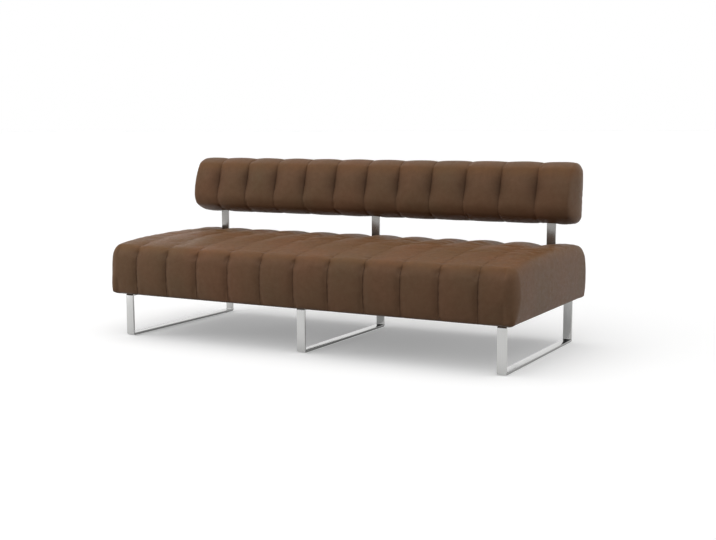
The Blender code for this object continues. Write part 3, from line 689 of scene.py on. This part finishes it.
def build_rear_panel():
    """The plain panel that closes the pad's rear."""
    low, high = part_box("back_cover")
    half = (high.x - low.x) / 2 - PANEL_RIM
    corner_low = (-half, PAD_REAR - PANEL_SUNK, PAD_LOW + PANEL_RIM)
    corner_high = (half, PAD_REAR + PANEL_PROUD, PAD_HIGH - PANEL_RIM)
    lines = []
    for start, stop, spacing in zip(corner_low, corner_high, PANEL_SPACING):
        lines.append(rounded_line(start, stop, PANEL_RADIUS, spacing, PANEL_EDGE_STEPS))
    points, faces = box_surface(lines)
    moved, outward = rounded(points, corner_low, corner_high, np.full(3, PANEL_RADIUS))
    level = np.abs(moved[:, 2] - PAD_MIDDLE) / ((corner_high[2] - corner_low[2]) / 2)
    edge = np.minimum(1, np.abs(moved[:, 0]) / half)
    crown = (1 - level ** PANEL_LEVEL_POWER) * (1 - edge ** PANEL_END_POWER)
    height = PANEL_HEIGHT * crown + unevenness(moved, UNEVEN_SPACING)
    moved[:, 1] += height * np.clip(outward[:, 1], 0, 1)
    moved[:, 0] += PAD_SHIFT
    panel = mesh_object("back_rear_panel", lean(moved), faces)
    panel.data.shade_smooth()
    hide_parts("back_panel")
    return panel


# Flat bar
def bar_section():
    """The bar's section as (depth, width) points with rounded edges. Depth 0 is the outside of a bend."""
    outer = -BAR_EDGE
    inner = BAR_EDGE - BAR_THICKNESS
    found = []
    for depth, side, start in ((outer, 1, 0), (inner, 1, 90), (inner, -1, 180), (outer, -1, 270)):
        across = side * (BAR_WIDTH / 2 - BAR_EDGE)
        for step in range(BAR_EDGE_STEPS + 1):
            angle = math.radians(start + 90 * step / BAR_EDGE_STEPS)
            found.append((depth + BAR_EDGE * math.cos(angle), across + BAR_EDGE * math.sin(angle)))
    return found


def running_length(points):
    """Distances along a closed line of points, with the way back to the first point last."""
    found = [0.0]
    for first, second in zip(points, points[1:] + points[:1]):
        found.append(found[-1] + math.dist(first, second))
    return found


def sweep_bar(name, path, closed):
    """A flat bar along path, a list of (y, z, outward y, outward z), centred on X = 0, with UVs along it."""
    section = bar_section()
    count = len(section)
    points = []
    for y, z, out_y, out_z in path:
        for depth, across in section:
            points.append((across, y + depth * out_y, z + depth * out_z))
    run = running_length([place[:2] for place in path])
    girth = running_length(section)
    thin_sides = (BAR_EDGE_STEPS, 3 * BAR_EDGE_STEPS + 2)  # where the two thin sides start
    faces = []
    narrow = []  # whether a face is on one of the bar's thin sides or ends
    uvs = []
    for i in range(len(path) if closed else len(path) - 1):
        first = i * count
        second = (i + 1) % len(path) * count
        for j in range(count):
            k = (j + 1) % count
            faces.append((first + j, first + k, second + k, second + j))
            narrow.append(j in thin_sides)
            uvs += [(run[i], girth[j]), (run[i], girth[j + 1])]
            uvs += [(run[i + 1], girth[j + 1]), (run[i + 1], girth[j])]
    if not closed:
        for start in (0, len(points) - count):
            faces.append(tuple(range(start, start + count)))
            narrow.append(True)
            uvs += [(0.0, girth[j]) for j in range(count)]
    obj = mesh_object(name, points, faces)
    layer = obj.data.uv_layers.new(name="along_bar")
    layer.data.foreach_set("uv", np.array(uvs, np.float32).ravel())
    face_outward(obj)
    # Thin sides and ends take the second material, which on the legs is a lighter steel: a painted highlight
    obj.data.polygons.foreach_set("material_index", np.array(narrow, np.int32))
    obj.data.shade_smooth()
    obj.data.set_sharp_from_angle(angle=BAR_SHARP)
    return obj


def leg_path(low, high):
    """The outside of a leg's loop in the YZ plane."""
    radius = BEND_RADIUS + BAR_THICKNESS
    corners = ((high.y, high.z, 0), (low.y, high.z, 90), (low.y, low.z, 180), (high.y, low.z, 270))
    path = []
    for y, z, start in corners:
        centre_y = y - math.copysign(radius, y)
        centre_z = z - radius if z == high.z else z + radius
        for step in range(BEND_STEPS + 1):
            angle = math.radians(start + 90 * step / BEND_STEPS)
            out = (math.cos(angle), math.sin(angle))
            path.append((centre_y + radius * out[0], centre_z + radius * out[1], *out))
    return path


def build_legs():
    """The legs' loops, with thin sides in a lighter steel, a painted highlight, and darker along the floor,
    painted shade.
    """
    made = []
    for side in SIDES:
        node = f"leg_frame_{side}"
        low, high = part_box(node)
        leg = sweep_bar(f"{side}_leg", leg_path(low, high), closed=True)
        leg.location.x = (low.x + high.x) / 2
        # Thin sides along the floor take the darker steel: painted shade
        for face in leg.data.polygons:
            if face.material_index == 1 and face.center.z < low.z + BAR_THICKNESS:
                face.material_index = 2
        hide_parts(node)
        made.append(leg)
    return made


def rear_face(y, z, angle):
    """A place on an upright's rear face, behind (y, z) on its middle, with the direction out of it."""
    out = (math.cos(angle), -math.sin(angle))
    return (y + BAR_THICKNESS / 2 * out[0], z + BAR_THICKNESS / 2 * out[1], *out)


def upright_path(foot, top):
    """The rear face of an upright: straight up, bent back at the pivot, and straight on."""
    path = [rear_face(BACK_PIVOT.y, foot, 0.0), rear_face(BACK_PIVOT.y, BACK_PIVOT.z - UPRIGHT_BEND, 0.0)]
    for step in range(1, UPRIGHT_STEPS + 1):
        share = step / UPRIGHT_STEPS
        y = BACK_PIVOT.y + UPRIGHT_BEND * BACK_LEAN * share ** 2
        z = BACK_PIVOT.z + UPRIGHT_BEND * (2 * share - 1)
        path.append(rear_face(y, z, BACK_LEAN * share))
    rise = top - BACK_PIVOT.z
    end_y = BACK_PIVOT.y + rise * math.tan(BACK_LEAN)
    path.append(rear_face(end_y, top - UPRIGHT_TOP_GAP, BACK_LEAN))
    return path


def build_uprights():
    made = []
    for side in SIDES:
        node = f"upright_{side}"
        low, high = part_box(node)
        upright = sweep_bar(f"{side}_upright", upright_path(low.z, high.z), closed=False)
        upright.location.x = (low.x + high.x) / 2
        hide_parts(node)
        made.append(upright)
    return made


# Small turned pieces
def ring(centre, height, radius, sides=0):
    """A level ring of points: round, or with flat sides that lie radius away from the middle."""
    found = []
    for i in range(TURNED_SEGMENTS):
        angle = 2 * math.pi * i / TURNED_SEGMENTS
        reach = radius
        if sides:
            wedge = 2 * math.pi / sides
            reach = radius / math.cos(angle % wedge - wedge / 2)
        found.append((centre.x + reach * math.cos(angle), centre.y + reach * math.sin(angle), height))
    return found


def turned(name, rings):
    """A closed piece through level rings, in order from one end to the other."""
    count = len(rings[0])
    points = [point for level in rings for point in level]
    faces = [tuple(range(count)), tuple(range(len(points) - count, len(points)))]
    for i in range(len(rings) - 1):
        for j in range(count):
            k = (j + 1) % count
            faces.append((i * count + j, i * count + k, (i + 1) * count + k, (i + 1) * count + j))
    obj = mesh_object(name, points, faces)
    face_outward(obj)
    obj.data.shade_smooth()
    obj.data.set_sharp_from_angle(angle=TURNED_SHARP)
    return obj


def build_glides():
    """Round glides with a softened rim, and the stem that holds each one in its leg."""
    made = []
    for side in SIDES:
        for end in ENDS:
            node = f"glide_{side}_{end}"
            low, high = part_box(node)
            centre = (low + high) / 2
            radius = (high.x - low.x) / 2
            profile = [(height, radius - inset) for height, inset in GLIDE_RIM]
            profile += [(GLIDE_HEIGHT, GLIDE_STEM), (high.z - TIP, GLIDE_STEM), (high.z, GLIDE_STEM - TIP)]
            glide = turned(f"{side}_{end}_glide", [ring(centre, height, reach) for height, reach in profile])
            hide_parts(node)
            made.append(glide)
    return made


def build_bolts():
    """Button-head bolts with a hexagon socket, seen from below."""
    made = []
    for side in SIDES:
        for end in ENDS:
            node = f"leg_bolt_{side}_{end}"
            low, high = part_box(node)
            centre = (low + high) / 2
            radius = (high.x - low.x) / 2
            rings = [ring(centre, low.z + SOCKET_DEPTH, SOCKET_BOTTOM, 6)]
            rings.append(ring(centre, low.z, SOCKET_MOUTH, 6))
            for height, share in BOLT_DOME:
                rings.append(ring(centre, low.z + height, radius * share))
            rings.append(ring(centre, low.z + BOLT_HEAD, BOLT_SHANK))
            rings.append(ring(centre, high.z - TIP, BOLT_SHANK))
            rings.append(ring(centre, high.z, BOLT_SHANK - TIP))
            bolt = turned(f"{side}_{end}_bolt", rings)
            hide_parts(node)
            made.append(bolt)
    return made


def build_dust_cloth():
    """The thin cloth under the seat, stretched between its edges and held up where the legs cross it."""
    low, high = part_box("dust_cover")
    xs = [low.x] + between(low.x, high.x, CLOTH_SPACING) + [high.x]
    ys = [low.y] + between(low.y, high.y, CLOTH_SPACING) + [high.y]
    legs = [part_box(f"leg_frame_{side}") for side in SIDES]
    leg_places = [(leg_low.x + leg_high.x) / 2 for leg_low, leg_high in legs]
    points = []
    for x in xs:
        free = min(1.0, min(abs(x - place) for place in leg_places) / CLOTH_FREE)
        for y in ys:
            across = 1 - (2 * (y - low.y) / (high.y - low.y) - 1) ** 2
            ripple = noise.noise(Vector((x * CLOTH_RIPPLE_SCALE[0], y * CLOTH_RIPPLE_SCALE[1], 0.3)))
            sag = free ** 2 * across * (CLOTH_SAG + CLOTH_RIPPLE * ripple)
            points.append((x, y, high.z - CLOTH_GAP - sag))
    count = len(ys)
    faces = []
    for i in range(len(xs) - 1):
        for j in range(count - 1):
            first = i * count + j
            second = first + count
            faces.append((first, first + 1, second + 1, second))
    sheet = mesh_object("dust_cloth", points, faces)
    sheet.data.shade_smooth()
    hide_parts("dust_cover")
    return sheet


# Materials
class Nodes:
    """Short ways to add and link the nodes of one material."""

    def __init__(self, name):
        self.material = bpy.data.materials.new(name)
        self.material.use_nodes = True
        self.tree = self.material.node_tree
        self.shader = self.tree.nodes["Principled BSDF"]

    def add(self, kind, values=None, **settings):
        node = self.tree.nodes.new(kind)
        for key, value in settings.items():
            setattr(node, key, value)
        for key, value in (values or {}).items():
            node.inputs[key].default_value = value
        return node

    def link(self, source, target):
        self.tree.links.new(source, target)

    def shade(self, source, name):
        """Links source to the shader's socket of that name."""
        self.link(source, self.shader.inputs[name])

    def place(self):
        return self.add("ShaderNodeTexCoord").outputs["Object"]

    def number(self, name):
        """A number that is stored for each point of the mesh."""
        return self.add("ShaderNodeAttribute", attribute_name=name).outputs["Fac"]

    def stretched(self, coordinates, scale):
        node = self.add("ShaderNodeMapping", {"Scale": scale})
        self.link(coordinates, node.inputs["Vector"])
        return node.outputs["Vector"]

    def noise(self, coordinates, scale, detail=3.0, roughness=0.5):
        node = self.add("ShaderNodeTexNoise", {"Scale": scale, "Detail": detail, "Roughness": roughness})
        self.link(coordinates, node.inputs["Vector"])
        return node.outputs["Fac"]

    def spread(self, value, low, high, from_low=0.3, from_high=0.7):
        values = {"From Min": from_low, "From Max": from_high, "To Min": low, "To Max": high}
        node = self.add("ShaderNodeMapRange", values)
        self.link(value, node.inputs["Value"])
        return node.outputs["Result"]

    def ramp(self, value, dark, light, low=0.3, high=0.7):
        node = self.add("ShaderNodeValToRGB")
        for element, place, colour in zip(node.color_ramp.elements, (low, high), (dark, light)):
            element.position = place
            element.color = (*colour, 1.0)
        self.link(value, node.inputs["Fac"])
        return node.outputs["Color"]

    def mix(self, share, first, second, blend="MIX"):
        """Mixes the colour second, which is the same all over, into first."""
        node = self.add("ShaderNodeMix", data_type="RGBA", blend_type=blend)
        self.link(share, node.inputs[0])
        self.link(first, node.inputs[6])
        node.inputs[7].default_value = (*second, 1.0)
        return node.outputs[2]

    def math(self, operation, first, second):
        node = self.add("ShaderNodeMath", operation=operation)
        self.link(first, node.inputs[0])
        if isinstance(second, bpy.types.NodeSocket):
            self.link(second, node.inputs[1])
        else:
            node.inputs[1].default_value = second
        return node.outputs[0]

    def bump(self, height, strength, distance, base=None):
        node = self.add("ShaderNodeBump", {"Strength": strength, "Distance": distance})
        self.link(height, node.inputs["Height"])
        if base is not None:
            self.link(base, node.inputs["Normal"])
        return node.outputs["Normal"]


def leather():
    """Brown leather with mottling, pores, wear and painted warm light on top, painted shade in the hollows,
    and dark thread with painted shade in the seams.
    """
    m = Nodes("brown_leather")
    place = m.place()
    colour = m.ramp(m.noise(place, 4.0), GREY_BROWN, RED_BROWN)
    # Warmer where worn, and where painted warm light falls from above
    colour = m.mix(m.number("worn_and_warm_lit"), colour, WORN_AND_WARM_LIT_TINT, blend="MULTIPLY")
    mottle = m.noise(place, 38.0, 5.0, 0.6)
    colour = m.mix(m.spread(mottle, 0.0, MOTTLE_SHARE), colour, MOTTLE)
    cell_values = {"Scale": PORE_SCALE, "Randomness": 1.0}
    cells = m.add("ShaderNodeTexVoronoi", cell_values, feature="DISTANCE_TO_EDGE")
    m.link(place, cells.inputs["Vector"])
    pores = m.spread(cells.outputs["Distance"], 0.0, 1.0, 0.0, PORE_EDGE)
    colour = m.mix(m.spread(pores, PORE_SHARE, 0.0, 0.0, 1.0), colour, PORE)
    # Painted shade in the hollows, darkest where the seams draw the leather in deepest
    colour = m.mix(m.spread(m.number("hollow"), 0.0, PAINTED_HOLLOW_SHADE_SHARE, 0.05, 0.9), colour, PAINTED_HOLLOW_SHADE)
    # Dark thread, and painted shade in the seams' folds
    colour = m.mix(m.spread(m.number("thread_and_seam_shade"), 0.0, THREAD_AND_SEAM_SHADE_SHARE, 0.0, 1.0), colour, THREAD_AND_SEAM_SHADE)
    m.shade(colour, "Base Color")
    m.shade(m.spread(m.noise(place, 60.0, 4.0), *LEATHER_ROUGHNESS), "Roughness")
    soft = m.noise(place, 24.0, 4.0)
    fine = m.noise(place, 900.0)
    grain = m.math("ADD", m.math("MULTIPLY", pores, 0.8), m.math("MULTIPLY", fine, 0.3))
    m.shade(m.bump(grain, 0.28, 0.0006, m.bump(soft, 0.25, 0.004)), "Normal")
    m.shader.inputs["Specular IOR Level"].default_value = LEATHER_SPECULAR
    return m.material


def brushed_steel(name, dark, light):
    """Steel with fine lines along the bar and faint smudges."""
    m = Nodes(name)
    along = m.add("ShaderNodeUVMap", uv_map="along_bar").outputs["UV"]
    lines = m.noise(m.stretched(along, STEEL_GRAIN), 1.0, 4.0, 0.6)
    smudge = m.noise(m.place(), 14.0)
    m.shade(m.ramp(lines, dark, light, 0.2, 0.8), "Base Color")
    m.shade(m.math("ADD", m.spread(lines, 0.10, 0.18), m.spread(smudge, -0.03, 0.04)), "Roughness")
    m.shade(m.bump(lines, 0.08, 0.0002), "Normal")
    m.shader.inputs["Metallic"].default_value = 1.0
    return m.material


def timber(name, dark, light, scale):
    """Wood with grain along the axis of the smallest scale."""
    m = Nodes(name)
    grain = m.noise(m.stretched(m.place(), scale), 1.0, 6.0, 0.65)
    m.shade(m.ramp(grain, dark, light), "Base Color")
    m.shade(m.spread(grain, 0.7, 0.5), "Roughness")
    m.shade(m.bump(grain, 0.2, 0.0005), "Normal")
    return m.material


def speckled(name, dark, light, rough, metallic=0.0, scale=300.0):
    """A plain finish with fine tone and bump."""
    m = Nodes(name)
    grain = m.noise(m.place(), scale, 4.0)
    m.shade(m.ramp(grain, dark, light), "Base Color")
    m.shade(m.spread(grain, rough - 0.08, rough + 0.08), "Roughness")
    m.shade(m.bump(grain, 0.15, 0.0003), "Normal")
    m.shader.inputs["Metallic"].default_value = metallic
    return m.material


def dress(obj, slot, *materials):
    """Gives a piece or a solid its materials, and a piece also its body. The slot is not used."""
    if obj.data.materials:
        obj.data.materials.clear()
    for material in materials:
        obj.data.materials.append(material)
    if "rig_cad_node" not in obj:
        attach(obj, "root")


def dress_solids(zinc):
    """Materials for the solids that stay in view."""
    beech = timber("beech", *BEECH, BEECH_GRAIN)
    plywood = timber("plywood", *PLYWOOD, PLYWOOD_GRAIN)
    for name, node in nodes.items():
        if "rail" in name or "plank" in name:
            dress(node, "wood", beech)
        elif name in ("seat_deck", "back_board"):
            dress(node, "plywood", plywood)
        elif "tnut" in name or "screw" in name:
            dress(node, "zinc", zinc)


def dress_all(cushions, legs, uprights, glides, bolts, cloth_piece):
    hide = leather()
    steel = brushed_steel("satin_steel", *STEEL)
    # Lighter and darker copies of the steel: a painted highlight on thin sides, painted shade along the
    # floor, a painted reflection on the uprights
    edge = brushed_steel("steel_edge_painted_highlight", *STEEL_EDGE_PAINTED_HIGHLIGHT)
    edge_painted_shade = brushed_steel("steel_edge_painted_shade", *STEEL_EDGE_PAINTED_SHADE)
    steel_painted_dark_reflection = brushed_steel("satin_steel_painted_dark_reflection", *STEEL_PAINTED_DARK_REFLECTION)
    zinc = speckled("zinc_plate", *ZINC, 0.35, 1.0)
    nylon = speckled("nylon", *NYLON, 0.55)
    for obj in cushions:
        dress(obj, "leather", hide)
    # Thin sides: lighter steel, a painted highlight; thin sides along the floor: darker steel, painted shade
    for obj in legs:
        dress(obj, "steel", steel, edge, edge_painted_shade)
    # The uprights' darker steel is a painted reflection of the leather
    for obj in uprights:
        dress(obj, "steel", steel_painted_dark_reflection, steel_painted_dark_reflection)
    for obj in glides:
        dress(obj, "nylon", nylon)
    for obj in bolts:
        dress(obj, "zinc", zinc)
    dress(cloth_piece, "cloth", speckled("black_cloth", *BLACK_CLOTH, 0.9, scale=900.0))
    dress_solids(zinc)


# Stage
def build_camera():
    forward = Vector((
        -math.sin(CAMERA_YAW) * math.cos(CAMERA_PITCH),
        math.cos(CAMERA_YAW) * math.cos(CAMERA_PITCH),
        -math.sin(CAMERA_PITCH),
    ))
    right = Vector((math.cos(CAMERA_YAW), math.sin(CAMERA_YAW), 0))
    up = right.cross(forward)
    rolled_right = math.cos(CAMERA_ROLL) * right + math.sin(CAMERA_ROLL) * up
    rolled_up = -math.sin(CAMERA_ROLL) * right + math.cos(CAMERA_ROLL) * up
    data = bpy.data.cameras.new("camera")
    data.lens = CAMERA_LENS
    data.sensor_width = CAMERA_SENSOR
    data.sensor_fit = "HORIZONTAL"
    camera = bpy.data.objects.new("camera", data)
    turn = Matrix((rolled_right, rolled_up, -forward)).transposed()
    camera.matrix_world = Matrix.Translation(CAMERA_PLACE) @ turn.to_4x4()
    bpy.context.scene.collection.objects.link(camera)
    bpy.context.scene.camera = camera


def soft_light(name, direction, spread, level):
    """A wide, even light from one direction. Level 1 shows a facing surface in the colour as written."""
    elevation, azimuth = direction
    data = bpy.data.lights.new(name, "SUN")
    data.angle = math.radians(spread)
    data.energy = math.pi * level
    light = bpy.data.objects.new(name, data)
    light.rotation_euler = (math.radians(90 - elevation), 0, math.radians(azimuth))
    bpy.context.scene.collection.objects.link(light)


def near_light(name, place, target, size, level):
    """A soft box, stronger near itself. Level 1 shows a surface at its target in the colour as written."""
    data = bpy.data.lights.new(name, "AREA")
    data.size = size
    away = place - target
    data.energy = math.pi ** 2 * level * away.length_squared
    light = bpy.data.objects.new(name, data)
    light.location = place
    light.rotation_euler = away.to_track_quat("Z", "Y").to_euler()
    light.visible_camera = False
    light.visible_glossy = False
    bpy.context.scene.collection.objects.link(light)


def seen_directly(tree):
    """1 for rays from the camera, a mirror-like surface or glass, 0 for rays that light the scene."""
    path = tree.nodes.new("ShaderNodeLightPath")
    seen = path.outputs["Is Camera Ray"]
    for kind in ("Is Glossy Ray", "Is Transmission Ray"):
        either = tree.nodes.new("ShaderNodeMath")
        either.operation = "MAXIMUM"
        tree.links.new(seen, either.inputs[0])
        tree.links.new(path.outputs[kind], either.inputs[1])
        seen = either.outputs[0]
    return seen


def build_floor():
    bpy.ops.mesh.primitive_plane_add(size=FLOOR_SIZE, location=(0, 0, 0))
    floor = bpy.context.object
    floor.name = "floor"
    material = bpy.data.materials.new("pale_floor")
    material.use_nodes = True
    tree = material.node_tree
    shader = tree.nodes["Principled BSDF"]
    shader.inputs["Roughness"].default_value = FLOOR_ROUGHNESS
    shader.inputs["Specular IOR Level"].default_value = 0.0
    shader.inputs["Emission Color"].default_value = WHITE
    seen = seen_directly(tree)
    tone = tree.nodes.new("ShaderNodeMix")
    tone.data_type = "RGBA"
    tone.inputs[6].default_value = (FLOOR_BOUNCE, FLOOR_BOUNCE, FLOOR_BOUNCE, 1.0)
    tone.inputs[7].default_value = (FLOOR_TONE, FLOOR_TONE, FLOOR_TONE, 1.0)
    tree.links.new(seen, tone.inputs[0])
    tree.links.new(tone.outputs[2], shader.inputs["Base Color"])
    lift = tree.nodes.new("ShaderNodeMath")
    lift.operation = "MULTIPLY"
    lift.inputs[1].default_value = FLOOR_LIFT
    tree.links.new(seen, lift.inputs[0])
    tree.links.new(lift.outputs[0], shader.inputs["Emission Strength"])
    floor.data.materials.append(material)


def build_world():
    world = bpy.data.worlds.new("studio")
    bpy.context.scene.world = world
    world.use_nodes = True
    tree = world.node_tree
    background = tree.nodes["Background"]
    background.inputs["Color"].default_value = WHITE
    level = tree.nodes.new("ShaderNodeMapRange")
    level.inputs["To Min"].default_value = WORLD_LEVEL
    level.inputs["To Max"].default_value = 1.0
    tree.links.new(seen_directly(tree), level.inputs["Value"])
    tree.links.new(level.outputs["Result"], background.inputs["Strength"])


def build_stage():
    build_floor()
    build_world()
    soft_light("overhead", OVERHEAD_DIRECTION, OVERHEAD_SPREAD, OVERHEAD_LEVEL)
    near_light("left_side", LEFT_PLACE, LEFT_TARGET, LEFT_SIZE, LEFT_LEVEL)
    soft_light("right_side", RIGHT_DIRECTION, RIGHT_SPREAD, RIGHT_LEVEL)
    bpy.context.scene.view_settings.view_transform = "Standard"


build_camera()
build_stage()
cushions = [build_seat(), build_back(), build_rear_panel()]
dress_all(cushions, build_legs(), build_uprights(), build_glides(), build_bolts(), build_dust_cloth())
